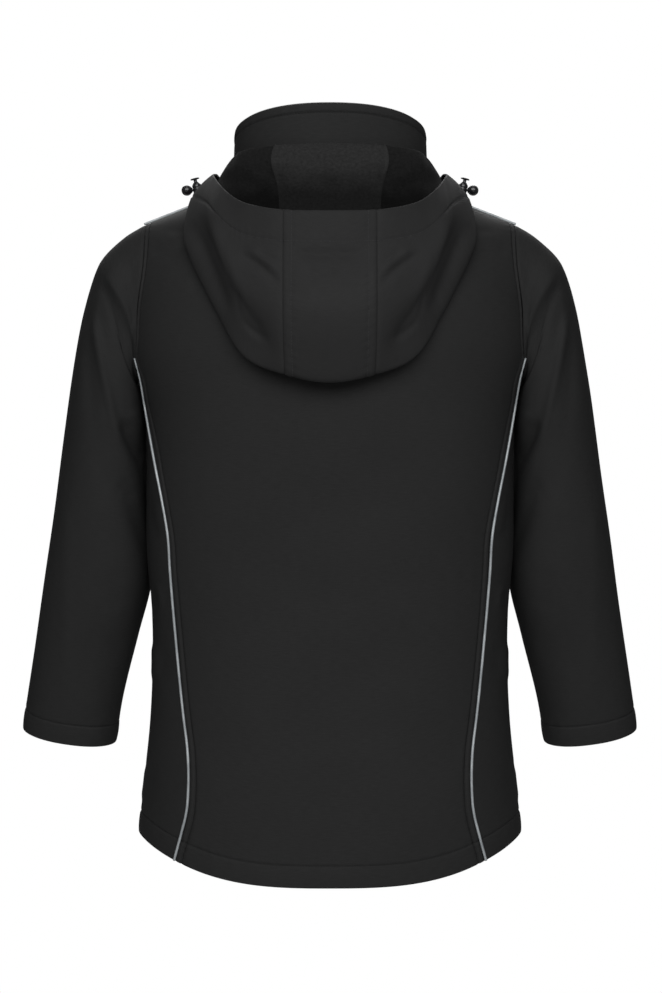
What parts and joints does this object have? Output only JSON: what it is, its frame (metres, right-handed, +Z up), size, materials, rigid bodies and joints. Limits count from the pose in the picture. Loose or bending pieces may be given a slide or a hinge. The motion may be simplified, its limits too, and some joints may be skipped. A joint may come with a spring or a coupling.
{
  "type": "hooded jacket",
  "caption": "Softshell hooded jacket, filled out as worn, with a stand collar, the hood folded down the back, piped seams, a front zip and sprung cord locks.",
  "frame": {"origin": "middle of the neck, level with the inner ends of the shoulder seams, where the wearer's shoulders hold the jacket", "axes": "+Z up, +Y towards the jacket's back, +X towards the wearer's left"},
  "size_m": [0.716, 0.307, 0.8798],
  "materials": {
    "shell_cloth": "matt woven softshell",
    "hood_cloth": "matt softshell with a fleece inside",
    "reflective_piping": "grey reflective piping",
    "zip_tape": "black woven tape with moulded teeth",
    "zip_metal": "black satin paint",
    "cord_plastic": "glossy black moulding",
    "cord_yarn": "black braided cord"
  },
  "bodies": {
    "jacket": {"back_centre": "shell_cloth", "back_side_left": "shell_cloth", "back_side_right": "shell_cloth", "front_left": "shell_cloth", "front_right": "shell_cloth", "sleeve_left": "shell_cloth", "sleeve_right": "shell_cloth", "collar": "shell_cloth", "hood_centre": "hood_cloth", "hood_side_left": "hood_cloth", "hood_side_right": "hood_cloth", "piping_back_left": "reflective_piping", "piping_back_right": "reflective_piping", "piping_shoulder_left": "reflective_piping", "piping_shoulder_right": "reflective_piping", "zip_tape_left": "zip_tape", "zip_tape_right": "zip_tape", "zip_slider": "zip_metal", "cord_lock_left": "cord_plastic", "cord_lock_right": "cord_plastic", "cord_end_left": "cord_plastic", "cord_end_right": "cord_plastic", "hood_cord_left": "cord_yarn", "hood_cord_right": "cord_yarn", "eyelet_left": "zip_metal", "eyelet_right": "zip_metal"},
    "pull_tab": {"zip_pull_tab": "zip_metal"},
    "plunger_left": {"cord_lock_plunger_left": "cord_plastic"},
    "plunger_right": {"cord_lock_plunger_right": "cord_plastic"}
  },
  "joints": [
    {"name": "pull_tab_swing", "type": "hinge", "parent": "jacket", "child": "pull_tab", "pos_m": [0, -0.0843, 0.008], "axis": [-1, 0, 0], "range_deg": [0, 170]},
    {"name": "plunger_left_press", "type": "slide", "parent": "jacket", "child": "plunger_left", "axis": [0.2419, 0, 0.9703], "range_m": [-0.0025, 0], "stiffness_N_per_m": 1500, "springref_m": 0.002},
    {"name": "plunger_right_press", "type": "slide", "parent": "jacket", "child": "plunger_right", "axis": [-0.2419, 0, 0.9703], "range_m": [-0.0025, 0], "stiffness_N_per_m": 1500, "springref_m": 0.002}
  ]
}
